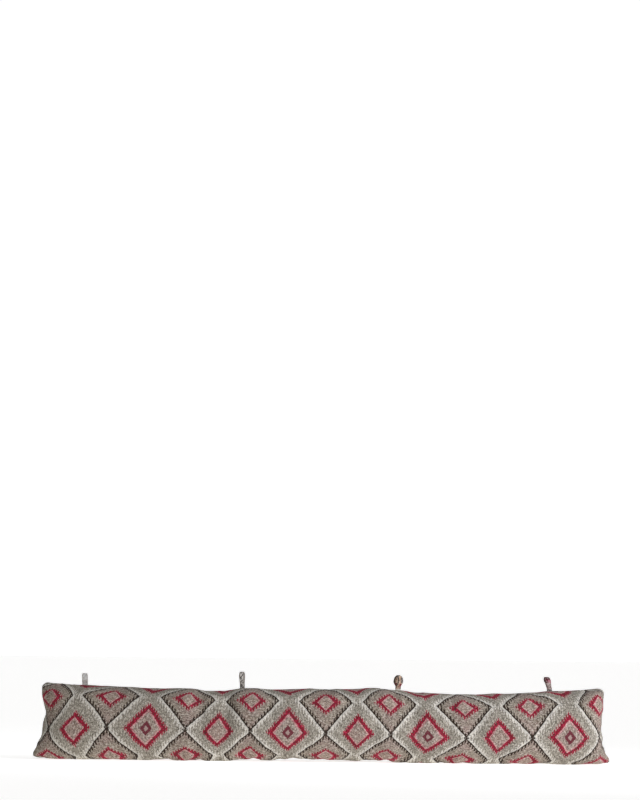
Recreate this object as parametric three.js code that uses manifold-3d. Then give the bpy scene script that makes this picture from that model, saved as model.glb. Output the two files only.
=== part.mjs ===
// A stuffed draught excluder: a long cloth cushion that stands on its underside,
// with four small hanging loops caught in the seam along its top.
// Units are millimetres. X runs along the cushion, the front faces -Y, and Z is up.
// The origin is under the middle of the cushion, on the surface that it stands on.

import * as THREE from 'three';
import { mergeVertices } from 'three/addons/utils/BufferGeometryUtils.js';
import Module from 'manifold-3d';

const wasm = await Module();
wasm.setup();

// ---- driving dimensions ----

const clearance = 0.3;       // between a loop and the seam that holds it
const seamRidge = 1.4;       // how far the top seam stands above the round of the cloth

// The stuffed section, from the top seam down the front to the seam underneath.
// Each stretch is so long along the cloth, and ends where the cloth's outward
// direction tilts so many degrees above (+) or below (-) the horizontal.
const sectionStart = 90;
const section = [
  { name: 'crest', arc: 41, tilt: 26 },
  { name: 'flank', arc: 52.5, tilt: 5 },
  { name: 'belly', arc: 50, tilt: -66 },
  { name: 'turn', arc: 11, tilt: -90 },
];
const sideSteps = 20;        // steps of the section from the top seam to the edge of its flat base

// The cushion along its length: the height of its top seam, how far its underside is
// off the surface, and how thick it is through, as a share of the section's own depth.
const stations = [
  { x: -452, top: 119.5, lift: 0, depth: 0.93 },
  { x: -408, top: 117.8, lift: 0, depth: 0.96 },
  { x: -368, top: 117.0, lift: 0, depth: 0.99 },
  { x: -312, top: 114.4, lift: 0, depth: 1.01 },
  { x: -268, top: 113.2, lift: 0, depth: 1.03 },
  { x: -226, top: 113.6, lift: 0, depth: 1.02 },
  { x: -182, top: 110.4, lift: 0, depth: 0.99 },
  { x: -154, top: 110.6, lift: 1.6, depth: 0.98 },
  { x: -120, top: 114.6, lift: 3.0, depth: 0.99 },
  { x: -80, top: 113.6, lift: 3.2, depth: 1.0 },
  { x: -20, top: 114.0, lift: 3.4, depth: 1.01 },
  { x: 40, top: 114.6, lift: 3.6, depth: 1.0 },
  { x: 88, top: 115.2, lift: 2.6, depth: 1.0 },
  { x: 122, top: 114.2, lift: 1.4, depth: 0.99 },
  { x: 150, top: 111.0, lift: 0, depth: 0.98 },
  { x: 192, top: 108.4, lift: 0, depth: 1.0 },
  { x: 238, top: 107.6, lift: 0, depth: 1.02 },
  { x: 290, top: 109.6, lift: 0, depth: 1.02 },
  { x: 330, top: 111.4, lift: 0, depth: 1.0 },
  { x: 354, top: 115.4, lift: 0, depth: 0.99 },
  { x: 396, top: 115.4, lift: 0, depth: 0.97 },
  { x: 452, top: 119.5, lift: 0, depth: 0.94 },
];
const sectionSpacing = 20;   // between sections along the straight of the cushion

// The upright seam at each end, from the top corner down to the bottom corner:
// how far each height's point lies from the middle of the cushion.
const leftSeam = [
  { z: 119.5, reach: 434 },
  { z: 112, reach: 437 },
  { z: 94, reach: 433 },
  { z: 76, reach: 430 },
  { z: 58, reach: 433 },
  { z: 38, reach: 437 },
  { z: 24, reach: 442 },
  { z: 10, reach: 449.5 },
  { z: 4, reach: 450 },
  { z: 1.5, reach: 446 },
];
const rightSeam = [
  { z: 119.5, reach: 433 },
  { z: 112, reach: 439.5 },
  { z: 94, reach: 438 },
  { z: 76, reach: 435 },
  { z: 58, reach: 434.5 },
  { z: 38, reach: 436 },
  { z: 24, reach: 441 },
  { z: 10, reach: 448.5 },
  { z: 4, reach: 450 },
  { z: 1.5, reach: 446 },
];
const endRound = 44;         // length over which an end closes from full depth to its seam
const endPower = 3.3;        // 2 closes as an ellipse, and more makes a squarer end
const endSteps = 8;          // sections in each rounded end

// The hanging loops. Each is a strap as wide as width and as thick as strap, caught in the
// top seam and standing height above it. spread is the loop's size across the seam, twist
// turns it about the upright, and lean carries its top along the cushion, in degrees.
const loopRoot = 8;          // how deep the two ends go into the seam
const loopNeck = 2.5;        // how far above the seam the two ends part, and the loop starts to turn
const eyeSteps = 9;          // steps of each quarter of a loop's eye
const loops = [
  { name: 'loop_1', x: -368, height: 18, width: 9.5, strap: 2.5, spread: 13.5, twist: 4, lean: -3 },
  { name: 'loop_2', x: -123, height: 26, width: 9, strap: 2.6, spread: 14, twist: -5, lean: -2 },
  { name: 'loop_3', x: 118, height: 23, width: 9, strap: 2.6, spread: 16.5, twist: 24, lean: 0 },
  { name: 'loop_4', x: 352, height: 22, width: 9.5, strap: 2.6, spread: 14, twist: 6, lean: -14 },
];

// ---- finishes ----

const kilim = new THREE.MeshStandardMaterial({ color: 0x9a917f, roughness: 0.95, metalness: 0 });
const loopCloth = {
  loop_1: new THREE.MeshStandardMaterial({ color: 0xa7a39b, roughness: 0.95, metalness: 0 }),
  loop_2: new THREE.MeshStandardMaterial({ color: 0x6d675c, roughness: 0.95, metalness: 0 }),
  loop_3: new THREE.MeshStandardMaterial({ color: 0x5a4a3c, roughness: 0.95, metalness: 0 }),
  loop_4: new THREE.MeshStandardMaterial({ color: 0x7d2436, roughness: 0.95, metalness: 0 }),
};

// ---- helpers ----

const toRadians = THREE.MathUtils.degToRad;
const mix = THREE.MathUtils.lerp;
const smooth = (t) => THREE.MathUtils.smoothstep(t, 0, 1);

// Reads a table at a place, easing between its rows.
function readTable(rows, key, at, column) {
  const rising = rows[rows.length - 1][key] > rows[0][key];
  const ordered = rising ? rows : [...rows].reverse();
  if (at <= ordered[0][key]) return ordered[0][column];
  for (let i = 1; i < ordered.length; i += 1) {
    if (at <= ordered[i][key]) {
      const t = (at - ordered[i - 1][key]) / (ordered[i][key] - ordered[i - 1][key]);
      return mix(ordered[i - 1][column], ordered[i][column], smooth(t));
    }
  }
  return ordered[ordered.length - 1][column];
}

// A closed mesh of shared points, ready for a boolean.
function toSolid(geometry) {
  const bare = geometry.clone();
  bare.deleteAttribute('normal');
  bare.deleteAttribute('uv');
  const merged = mergeVertices(bare, 1e-4);
  return new wasm.Manifold(new wasm.Mesh({
    numProp: 3,
    vertProperties: new Float32Array(merged.attributes.position.array),
    triVerts: new Uint32Array(merged.index.array),
  }));
}

function fromSolid(solid) {
  const mesh = solid.getMesh();
  const geometry = new THREE.BufferGeometry();
  geometry.setAttribute('position', new THREE.BufferAttribute(mesh.vertProperties, 3));
  geometry.setIndex(new THREE.BufferAttribute(mesh.triVerts, 1));
  geometry.computeVertexNormals();
  return geometry;
}

// ---- the stuffed section ----

// Follows the cloth from the top seam (y 0, z 0) down the front, and gives points
// of even spacing as { y, z, along }, with the flat base's edge as the last one.
function followSection() {
  const fine = 200;
  const total = section.reduce((sum, stretch) => sum + stretch.arc, 0);
  const step = total / fine;
  const points = [{ y: 0, z: 0, along: 0 }];
  let [y, z] = [0, 0];
  for (let i = 0; i < fine; i += 1) {
    let [start, from] = [0, sectionStart];
    const middle = (i + 0.5) * step;
    let stretch = section[0];
    for (stretch of section) {
      if (middle <= start + stretch.arc) break;
      start += stretch.arc;
      from = stretch.tilt;
    }
    const tilt = toRadians(mix(from, stretch.tilt, (middle - start) / stretch.arc));
    y -= Math.sin(tilt) * step;
    z -= Math.cos(tilt) * step;
    if ((i + 1) % (fine / sideSteps) === 0) points.push({ y, z, along: (i + 1) / fine });
  }
  return points;
}

const profile = followSection();
const sectionHeight = -profile[profile.length - 1].z;

// One point of the front, at a section's place along X and a step down the section.
function bodyPoint(x, step) {
  const top = readTable(stations, 'x', x, 'top');
  const lift = readTable(stations, 'x', x, 'lift');
  const depth = readTable(stations, 'x', x, 'depth');
  const ridge = step === 0 ? seamRidge : 0;
  const { y, z } = profile[step];
  const height = (z / sectionHeight + 1) * (top - seamRidge - lift) + lift + ridge;
  return new THREE.Vector3(x, y * depth, height);
}

// ---- the cushion ----

// The sections along the cushion, each as its distance from the end seams: rounded
// ends first, then even spacing. A section is { side, closing }, where closing runs
// from 0 at the end seam to 1 where the end has opened to its full depth.
function planSections() {
  const reach = 450;
  const straight = 2 * (reach - endRound);
  const count = Math.round(straight / sectionSpacing);
  const plan = [];
  for (let i = 1; i <= endSteps; i += 1) plan.push({ side: -1, turn: i / endSteps });
  for (let i = 1; i < count; i += 1) plan.push({ side: 0, x: -straight / 2 + (i * straight) / count });
  for (let i = endSteps; i >= 1; i -= 1) plan.push({ side: 1, turn: i / endSteps });
  return plan;
}

// A point of an end's seam, for a step down the section.
function seamPoint(side, step) {
  const seam = side < 0 ? leftSeam : rightSeam;
  const { along } = profile[step];
  const [highest, lowest] = [seam[0].z, seam[seam.length - 1].z];
  const z = mix(highest, lowest, along);
  return new THREE.Vector3(side * readTable(seam, 'z', z, 'reach'), 0, z);
}

// A point of a rounded end: it leaves the seam across the end and bends round into the front.
function endPoint(side, turn, step) {
  const seam = seamPoint(side, step);
  const angle = (turn * Math.PI) / 2;
  const inward = endRound * (1 - Math.cos(angle) ** (2 / endPower));
  const opened = Math.sin(angle) ** (2 / endPower);
  const x = seam.x - side * inward;
  const body = bodyPoint(x, step);
  return new THREE.Vector3(x, body.y * opened, mix(seam.z, body.z, smooth(opened)));
}

const plan = planSections();

function sectionPoint(place, step) {
  return place.side === 0 ? bodyPoint(place.x, step) : endPoint(place.side, place.turn, step);
}

function cushionGeometry() {
  const around = 2 * sideSteps + 1;   // front steps, back steps, and both base edges
  const positions = [];
  const indices = [];

  // a ring runs from the top seam down the front, and back up the other side
  for (const place of plan) {
    const front = [];
    for (let step = 0; step <= sideSteps; step += 1) front.push(sectionPoint(place, step));
    const back = front.slice(1).reverse().map((p) => new THREE.Vector3(p.x, -p.y, p.z));
    for (const p of [...front, ...back]) positions.push(p.x, p.y, p.z);
  }

  for (let i = 0; i + 1 < plan.length; i += 1) {
    for (let j = 0; j < around; j += 1) {
      const a = i * around + j;
      const b = i * around + ((j + 1) % around);
      indices.push(a, b, b + around, a, b + around, a + around);
    }
  }

  // each end closes from its first ring onto its seam
  for (const side of [-1, 1]) {
    const ring = side < 0 ? 0 : (plan.length - 1) * around;
    const seam = positions.length / 3;
    for (let step = 1; step <= sideSteps; step += 1) {
      const p = seamPoint(side, step);
      positions.push(p.x, p.y, p.z);
    }
    const seamAt = (step) => (step === 0 ? ring : seam + step - 1);
    const face = (a, b, c) => indices.push(...(side < 0 ? [a, c, b] : [a, b, c]));
    for (let step = 0; step < sideSteps; step += 1) {
      const [frontHigh, frontLow] = [ring + step, ring + step + 1];
      const [backHigh, backLow] = [ring + ((around - step) % around), ring + around - step - 1];
      face(frontHigh, frontLow, seamAt(step + 1));
      if (step > 0) face(frontHigh, seamAt(step + 1), seamAt(step));
      face(backHigh, seamAt(step + 1), backLow);
      if (step > 0) face(backHigh, seamAt(step), seamAt(step + 1));
    }
    face(ring + sideSteps, ring + sideSteps + 1, seamAt(sideSteps));
  }

  const geometry = new THREE.BufferGeometry();
  geometry.setAttribute('position', new THREE.Float32BufferAttribute(positions, 3));
  geometry.setIndex(indices);
  return geometry;
}

// ---- the hanging loops ----

// The height of the top seam, straight from section to section as it is built.
function crestHeight(x) {
  const crest = plan.map((place) => sectionPoint(place, 0));
  const after = crest.findIndex((p) => p.x > x);
  const [low, high] = [crest[after - 1], crest[after]];
  return mix(low.z, high.z, (x - low.x) / (high.x - low.x));
}

// Turns and leans a loop's points, more and more above its neck.
function setLoop(geometry, loop) {
  const at = geometry.attributes.position;
  for (let i = 0; i < at.count; i += 1) {
    const above = Math.max(0, at.getZ(i) - loopNeck);
    const share = smooth(above / (0.4 * loop.height));
    const turned = new THREE.Vector3(at.getX(i), at.getY(i), at.getZ(i));
    turned.applyAxisAngle(new THREE.Vector3(0, 0, 1), toRadians(loop.twist) * share);
    turned.x += above * Math.tan(toRadians(loop.lean));
    at.setXYZ(i, turned.x, turned.y, turned.z);
  }
}

// One outline of a loop's eye, seen along the cushion: out from the neck to the widest
// place on the right, over the top, and back down the left.
function eyeOutline(neck, handle, swell, side, top) {
  const path = new THREE.Path();
  path.moveTo(neck.y, neck.z);
  path.bezierCurveTo(handle.y, handle.z, side.y, swell, side.y, side.z);
  path.absellipse(0, side.z, side.y, top - side.z, 0, Math.PI, false);
  path.bezierCurveTo(-side.y, swell, -handle.y, handle.z, -neck.y, neck.z);
  return path.getPoints(eyeSteps);
}

// A folded strap: two legs side by side in the seam, opening above it into a rounded eye.
function loopGeometry(loop) {
  const { height, width, strap, spread } = loop;
  const centre = 0.6 * height;            // height of the eye's widest place
  const foot = loopNeck + strap;          // where the legs part, inside
  const half = spread / 2 - strap;
  const outer = eyeOutline(
    { y: strap, z: loopNeck }, { y: strap, z: 0.3 * height },
    0.32 * height, { y: spread / 2, z: centre }, height,
  );
  const inner = eyeOutline(
    { y: 0, z: foot }, { y: 0.4 * half, z: foot + 0.5 },
    0.4 * height, { y: half, z: centre }, height - strap,
  );
  const root = [new THREE.Vector2(-strap, -loopRoot), new THREE.Vector2(strap, -loopRoot)];

  // the inner outline starts and ends at the foot, so its last point isn't repeated
  const outline = [...outer, ...root, ...inner.slice(0, -1)];
  const count = outline.length;
  const [last, rootAt] = [outer.length - 1, outer.length];
  const innerAt = (i) => rootAt + 2 + (i % last);
  const positions = [];
  for (const x of [-width / 2, width / 2]) {
    for (const p of outline) positions.push(x, p.x, p.y);
  }

  const indices = [];
  const panel = (a, b, c) => indices.push(a + count, b + count, c + count, a, c, b);
  const edge = (a, b) => indices.push(a, b + count, a + count, a, b, b + count);
  for (let i = 0; i < last; i += 1) {
    panel(i, i + 1, innerAt(i + 1));
    if (i > 0) panel(i, innerAt(i + 1), innerAt(i));
    edge(i, i + 1);
    edge(innerAt(i + 1), innerAt(i));
  }
  panel(0, innerAt(1), innerAt(0));
  panel(0, innerAt(0), last);
  panel(0, last, rootAt);
  panel(0, rootAt, rootAt + 1);
  edge(last, rootAt);
  edge(rootAt, rootAt + 1);
  edge(rootAt + 1, 0);

  const geometry = new THREE.BufferGeometry();
  geometry.setAttribute('position', new THREE.Float32BufferAttribute(positions, 3));
  geometry.setIndex(indices);
  setLoop(geometry, loop);
  return geometry;
}

// The pocket in the top seam that a loop's ends are caught in.
function pocketGeometry(loop) {
  const tall = loopRoot + 30;
  const pocket = new THREE.BoxGeometry(
    loop.width + 2 * clearance,
    2 * loop.strap + 2 * clearance,
    tall,
  );
  pocket.translate(0, 0, tall / 2 - loopRoot - clearance);
  return pocket;
}

// ---- assembly ----

const group = new THREE.Group();

let body = toSolid(cushionGeometry());
for (const loop of loops) {
  const seat = crestHeight(loop.x) - seamRidge;
  const pocket = pocketGeometry(loop);
  pocket.translate(loop.x, 0, seat);
  body = body.subtract(toSolid(pocket));

  const mesh = new THREE.Mesh(loopGeometry(loop), loopCloth[loop.name]);
  mesh.name = loop.name;
  mesh.position.set(loop.x, 0, seat);
  group.add(mesh);
}

const cushion = new THREE.Mesh(fromSolid(body), kilim);
cushion.name = 'cushion';
group.add(cushion);

export default group;
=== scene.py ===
import math

import bpy
import numpy as np
from mathutils import Matrix, Vector, noise


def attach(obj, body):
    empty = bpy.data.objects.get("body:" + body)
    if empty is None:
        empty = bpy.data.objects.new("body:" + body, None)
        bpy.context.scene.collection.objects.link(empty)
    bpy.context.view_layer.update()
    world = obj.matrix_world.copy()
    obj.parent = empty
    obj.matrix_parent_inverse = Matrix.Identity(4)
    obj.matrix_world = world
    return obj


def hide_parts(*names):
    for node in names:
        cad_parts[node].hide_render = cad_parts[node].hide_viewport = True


# A stuffed draught excluder in kilim-style cloth, with four hanging loops along its top seam.
# Metres, X along the cushion, the front faces -Y, Z up, standing on z = 0.

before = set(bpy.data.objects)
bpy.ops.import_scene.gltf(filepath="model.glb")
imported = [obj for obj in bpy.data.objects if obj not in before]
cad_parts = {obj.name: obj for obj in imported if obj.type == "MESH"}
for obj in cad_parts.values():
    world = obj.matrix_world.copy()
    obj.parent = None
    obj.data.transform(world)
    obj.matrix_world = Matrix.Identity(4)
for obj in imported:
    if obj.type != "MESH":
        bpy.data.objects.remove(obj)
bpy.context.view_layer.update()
print("frame loaded")


def deselect():
    bpy.ops.object.select_all(action="DESELECT")


def activate(piece):
    deselect()
    piece.select_set(True)
    bpy.context.view_layer.objects.active = piece


def smooth(t):
    t = np.clip(t, 0.0, 1.0)
    return t * t * (3.0 - 2.0 * t)


# Reads a table at places, which its first column holds, and eases between its rows.
def readTable(rows, at):
    places, *columns = np.array(sorted(rows)).T
    i = np.clip(np.searchsorted(places, at) - 1, 0, len(rows) - 2)
    t = (np.clip(at, places[0], places[-1]) - places[i]) / (places[i + 1] - places[i])
    values = [column[i] + (column[i + 1] - column[i]) * smooth(t) for column in columns]
    return values if len(values) > 1 else values[0]


def getPoints(mesh):
    points = np.empty(len(mesh.vertices) * 3)
    mesh.vertices.foreach_get("co", points)
    return points.reshape(-1, 3)


def setPoints(mesh, points):
    mesh.vertices.foreach_set("co", np.ascontiguousarray(points, dtype=float).ravel())
    mesh.update()


def vertexNormals(mesh):
    return np.array([tuple(vertex.normal) for vertex in mesh.vertices])


def runningTotal(steps):
    return np.concatenate([[0.0], np.cumsum(steps)])


# How far along a line of points each one lies.
def arcLengths(points):
    return runningTotal(np.linalg.norm(np.diff(points, axis=0), axis=1))


def addNew(operator, name, **settings):
    deselect()
    operator(**settings)
    piece = bpy.context.object
    piece.name = name
    return piece


def addGrid(name, across, down):
    return addNew(bpy.ops.mesh.primitive_grid_add, name,
                  x_subdivisions=across, y_subdivisions=down, size=1.0)


def applyModifier(piece, name, kind, **settings):
    activate(piece)
    modifier = piece.modifiers.new(name, kind)
    for setting, value in settings.items():
        setattr(modifier, setting, value)
    bpy.ops.object.modifier_apply(modifier=modifier.name)


# Joins points that coincide, and turns every face outward.
def weld(piece):
    activate(piece)
    bpy.ops.object.mode_set(mode="EDIT")
    bpy.ops.mesh.select_all(action="SELECT")
    bpy.ops.mesh.remove_doubles(threshold=0.00001)
    bpy.ops.mesh.normals_make_consistent(inside=False)
    bpy.ops.object.mode_set(mode="OBJECT")


# A colour given as on a screen, from 0 to 255, in the linear values that shaders use.
def linear(red, green, blue):
    def one(value):
        value /= 255.0
        return value / 12.92 if value <= 0.04045 else ((value + 0.055) / 1.055) ** 2.4

    return (one(red), one(green), one(blue), 1.0)


# A shader socket that takes part in Python expressions.
class Wire:
    def __init__(self, tree, socket=None):
        self.tree = tree
        self.socket = socket

    def make(self, kind, settings=None, inputs=None, output=0):
        node = self.tree.nodes.new(kind)
        for name, value in (settings or {}).items():
            setattr(node, name, value)
        for key, value in (inputs or {}).items():
            if isinstance(value, Wire):
                self.tree.links.new(value.socket, node.inputs[key])
            else:
                node.inputs[key].default_value = value
        return Wire(self.tree, node.outputs[output])

    def math(self, operation, *values):
        return self.make("ShaderNodeMath", {"operation": operation}, dict(enumerate(values)))

    def __add__(self, other):
        return self.math("ADD", self, other)

    def __radd__(self, other):
        return self.math("ADD", other, self)

    def __sub__(self, other):
        return self.math("SUBTRACT", self, other)

    def __rsub__(self, other):
        return self.math("SUBTRACT", other, self)

    def __mul__(self, other):
        return self.math("MULTIPLY", self, other)

    def __rmul__(self, other):
        return self.math("MULTIPLY", other, self)

    def __truediv__(self, other):
        return self.math("DIVIDE", self, other)

    def __lt__(self, other):
        return self.math("LESS_THAN", self, other)

    def __gt__(self, other):
        return self.math("GREATER_THAN", self, other)

    def __abs__(self):
        return self.math("ABSOLUTE", self)

    def least(self, other):
        return self.math("MINIMUM", self, other)

    def most(self, other):
        return self.math("MAXIMUM", self, other)

    def wrap(self, period):  # the remainder, from 0 up to the period
        return self.math("FLOORED_MODULO", self, period)

    def floor(self):
        return self.math("FLOOR", self)

    def ramp(self, start, end):  # 0 at start and 1 at end, held outside them
        return self.make("ShaderNodeMapRange", {"clamp": True},
                         {0: self, 1: start, 2: end, 3: 0.0, 4: 1.0})

    def ridges(self, period):  # 1 on the lines between the periods, 0 midway
        return abs((self / period).wrap(1.0) - 0.5) * 2.0

    def pair(self, x, y):
        return self.make("ShaderNodeCombineXYZ", None, {0: x, 1: y, 2: 0.0})

    def part(self, axis):
        return self.make("ShaderNodeSeparateXYZ", None, {0: self}, axis)

    def cloud(self, x, y, detail):  # soft noise, a patch for each whole step of x and y
        return self.make("ShaderNodeTexNoise", {"noise_dimensions": "2D"},
                         {"Vector": self.pair(x, y), "Scale": 1.0, "Detail": detail})

    def chance(self, x, y):  # one random value for each whole x and y
        return self.make("ShaderNodeTexWhiteNoise", {"noise_dimensions": "2D"},
                         {"Vector": self.pair(x, y)})

    def mix(self, first, second):  # first where this is 0, second where it is 1
        return self.make("ShaderNodeMix", {"data_type": "RGBA"},
                         {0: self, 6: first, 7: second}, 2)


# A new material, its shader, and a Wire to start expressions from.
def newMaterial(name):
    material = bpy.data.materials.new(name)
    material.use_nodes = True
    tree = material.node_tree
    return material, tree.nodes["Principled BSDF"], Wire(tree)


def setShader(shader, values):
    for name, value in values.items():
        shader.inputs[name].default_value = value


def plug(wire, shader, name):
    wire.tree.links.new(wire.socket, shader.inputs[name])


# How high the yarns stand, from 1 on their tops down, given their place in a row and along it.
def yarnHeight(across, along, cloth):
    return 1.0 - across * across * cloth["roundAcross"] - along * along * cloth["roundAlong"]


def plugCloth(shader, colour, height, cloth):
    bump = height.make("ShaderNodeBump", None,
                       {"Strength": 0.7, "Distance": cloth["relief"], "Height": height})
    plug(colour, shader, "Base Color")
    plug(bump, shader, "Normal")


view = {
    "lens": 135.0,
    "sensor": 36.0,
    "size": (640, 800),
    "aim": (321.5, 761.7),   # where the origin lies in the picture, in pixels from its top left
    "depth": 4.671,          # the origin's distance along the camera's axis
    "tilt": 4.875,           # degrees that the axis points above the horizontal
    "roll": 0.6,
    "reach": 500.0,          # how far the camera sees, to take in the whole floor
}


def addCamera():
    camera = addNew(bpy.ops.object.camera_add, "camera")
    camera.data.lens = view["lens"]
    camera.data.sensor_width = view["sensor"]
    camera.data.clip_end = view["reach"]
    width, height = view["size"]
    focal = view["lens"] / view["sensor"] * height
    turn = (Matrix.Rotation(math.radians(90 + view["tilt"]), 3, "X")
            @ Matrix.Rotation(math.radians(view["roll"]), 3, "Z"))
    ray = Vector(((view["aim"][0] - width / 2) / focal,
                  -(view["aim"][1] - height / 2) / focal, -1.0))
    camera.matrix_world = Matrix.Translation(-(turn @ ray) * view["depth"]) @ turn.to_4x4()
    bpy.context.scene.camera = camera


addCamera()
print("camera set")


studio = {
    "floorSize": 300.0,
    "floorColour": linear(235, 234, 232),
    "floorGlow": 0.68,
    "horizon": 1.03,           # brightness of the low band of sky
    "overhead": 0.2,           # brightness of the rest of it
    "left": 0.05,              # brightness of the sky on the left, above the horizon
    # where one kind of sky passes into the next, as parts of the way to straight up, left or back
    "bandEdge": (0.12, 0.22),
    "backBandEdge": (0.27, 0.38),
    "backEdge": (0.75, 0.9),
    "leftEdge": (-0.1, -0.5),
    "leftFoot": (0.045, 0.07),
    "sun": 0.6,
    "sunPlace": (1.3, -0.6, 2.7),
    "sunAngle": 70.0,
    "keyPlace": (1.55, -1.25, 0.82),
    "keyAim": (0.12, 0.0, 0.06),
    "keySize": 0.7,
    "keySpread": 46.0,
    "keyPower": 2.55,
    "keyColour": (0.87, 0.9, 1.0),
}


def addFloor():
    floor = addNew(bpy.ops.mesh.primitive_plane_add, "floor", size=studio["floorSize"])
    material, shader, _ = newMaterial("pale floor")
    setShader(shader, {"Base Color": studio["floorColour"], "Roughness": 0.9,
                       "Specular IOR Level": 0.1, "Emission Color": (1.0, 1.0, 1.0, 1.0),
                       "Emission Strength": studio["floorGlow"]})
    floor.data.materials.append(material)


def addLight(name, kind, place, aim, **settings):
    lamp = addNew(bpy.ops.object.light_add, name, type=kind, location=place)
    lamp.rotation_euler = (Vector(aim) - Vector(place)).to_track_quat("-Z", "Y").to_euler()
    for setting, value in settings.items():
        setattr(lamp.data, setting, value)


def grey(value):
    return (value, value, value, 1.0)


# A pale band of sky low down, taller behind the cushion, and a dark sky on the left.
def addSky():
    world = bpy.data.worlds.new("studio")
    bpy.context.scene.world = world
    world.use_nodes = True
    towards = Wire(world.node_tree).make("ShaderNodeTexCoord")
    across, away, up = (towards.part(axis) for axis in range(3))
    behind = away.ramp(*studio["backEdge"])
    above = (up.ramp(*studio["bandEdge"]) * (1.0 - behind)
             + up.ramp(*studio["backBandEdge"]) * behind)
    sky = above.mix(grey(studio["horizon"]), grey(studio["overhead"]))
    aside = across.ramp(*studio["leftEdge"]) * up.ramp(*studio["leftFoot"])
    sky = aside.mix(sky, grey(studio["left"]))
    plug(sky, world.node_tree.nodes["Background"], "Color")


def addStudio():
    addFloor()
    addSky()
    addLight("overhead light", "SUN", studio["sunPlace"], (0.0, 0.0, 0.0),
             energy=studio["sun"], angle=math.radians(studio["sunAngle"]))
    addLight("key light", "AREA", studio["keyPlace"], studio["keyAim"],
             energy=studio["keyPower"], shape="DISK", size=studio["keySize"],
             spread=math.radians(studio["keySpread"]), color=studio["keyColour"])
    bpy.context.scene.view_settings.view_transform = "Standard"


addStudio()
print("floor and light set")


cushion = {
    # each stretch of the section: cloth length, and the tilt in degrees that it ends at
    "section": [(0.041, 26), (0.0525, 5), (0.05, -66), (0.011, -90)],
    "sectionStart": 90,
    "base": 0.0125,          # cloth from the flat base's edge to the seam underneath
    "ridge": 0.0014,         # how far the top seam stands up
    "ridgeWide": 0.003,      # and how fast it falls away
    # along the cushion: place, height of the top seam, lift off the floor, depth share
    "stations": [
        (-0.452, 0.1195, 0.0, 0.93), (-0.408, 0.1178, 0.0, 0.96), (-0.368, 0.117, 0.0, 0.99),
        (-0.312, 0.1144, 0.0, 1.01), (-0.268, 0.1132, 0.0, 1.03), (-0.226, 0.1136, 0.0, 1.02),
        (-0.182, 0.1104, 0.0, 0.99), (-0.154, 0.1106, 0.0016, 0.98), (-0.12, 0.1146, 0.003, 0.99),
        (-0.08, 0.1136, 0.0032, 1.0), (-0.02, 0.114, 0.0034, 1.01), (0.04, 0.1146, 0.0036, 1.0),
        (0.088, 0.1152, 0.0026, 1.0), (0.122, 0.1142, 0.0014, 0.99), (0.15, 0.111, 0.0, 0.98),
        (0.192, 0.1084, 0.0, 1.0), (0.238, 0.1076, 0.0, 1.02), (0.29, 0.1096, 0.0, 1.02),
        (0.33, 0.1114, 0.0, 1.0), (0.354, 0.1154, 0.0, 0.99), (0.396, 0.1154, 0.0, 0.97),
        (0.452, 0.1195, 0.0, 0.94),
    ],
    # the upright seam at each end: height, and distance from the cushion's middle
    "leftSeam": [
        (0.1195, 0.434), (0.112, 0.437), (0.094, 0.433), (0.076, 0.43), (0.058, 0.433),
        (0.038, 0.437), (0.024, 0.442), (0.01, 0.4495), (0.004, 0.45), (0.0015, 0.446),
    ],
    "rightSeam": [
        (0.1195, 0.433), (0.112, 0.4395), (0.094, 0.438), (0.076, 0.435), (0.058, 0.4345),
        (0.038, 0.436), (0.024, 0.441), (0.01, 0.4485), (0.004, 0.45), (0.0015, 0.446),
    ],
    "seamTop": 0.1195,
    "seamFoot": 0.0015,
    "endRound": 0.044,       # how far in from its seam an end starts to close
    "endPower": 3.3,         # how squarely it does: 2 would be round
    "across": 200,           # quads of a panel along the cushion
    "down": 36,              # quads of a panel from seam to seam
    "clothHalf": 0.4665,     # half of a panel's cut length, inside its seams
    "fill": 0.8,
}
# a panel's cloth from the top seam to the seam underneath
panelDrop = sum(stretch[0] for stretch in cushion["section"]) + cushion["base"]


# The section as cloth length, y and z, from the top seam to the flat base's edge.
def followSection(fine=1000):
    lengths = [stretch[0] for stretch in cushion["section"]]
    tilts = [cushion["sectionStart"]] + [stretch[1] for stretch in cushion["section"]]
    ends = runningTotal(lengths)
    step = ends[-1] / fine
    middle = (np.arange(fine) + 0.5) * step
    tilt = np.radians(np.interp(middle, ends, tilts))
    y = runningTotal(-np.sin(tilt) * step)
    z = runningTotal(-np.cos(tilt) * step)
    return np.linspace(0.0, ends[-1], fine + 1), y, z


sectionArc, sectionY, sectionZ = followSection()


# Points of the front panel along its straight run, at places x and one drop down the cloth.
def bodyPoints(x, drop):
    top, lift, depth = readTable(cushion["stations"], x)
    edge = sectionArc[-1]
    y = np.interp(drop, sectionArc, sectionY)
    z = np.interp(drop, sectionArc, sectionZ)
    if drop > edge:
        y *= 1.0 - (drop - edge) / cushion["base"]
    height = (1.0 - z / sectionZ[-1]) * (top - cushion["ridge"] - lift) + lift
    height += cushion["ridge"] * math.exp(-drop / cushion["ridgeWide"])
    return np.stack([x, y * depth, height], axis=1)


# One row of the front panel, from the middle out to an end's seam.
def rowPoints(side, drop, fine=240):
    seam = cushion["leftSeam"] if side < 0 else cushion["rightSeam"]
    share = drop / panelDrop
    seamZ = cushion["seamTop"] + (cushion["seamFoot"] - cushion["seamTop"]) * share
    reach = float(readTable(seam, seamZ))
    straight = side * np.linspace(0.0, reach - cushion["endRound"], fine)[:-1]
    turn = np.linspace(math.pi / 2, 0.0, fine)
    power = 2.0 / cushion["endPower"]
    inward = cushion["endRound"] * (1.0 - np.clip(np.cos(turn), 0.0, 1.0) ** power)
    opened = np.clip(np.sin(turn), 0.0, 1.0) ** power
    end = bodyPoints(side * (reach - inward), drop)
    end[:, 1] *= opened
    end[:, 2] = seamZ + (end[:, 2] - seamZ) * smooth(opened)
    return np.concatenate([bodyPoints(straight, drop), end])


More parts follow.
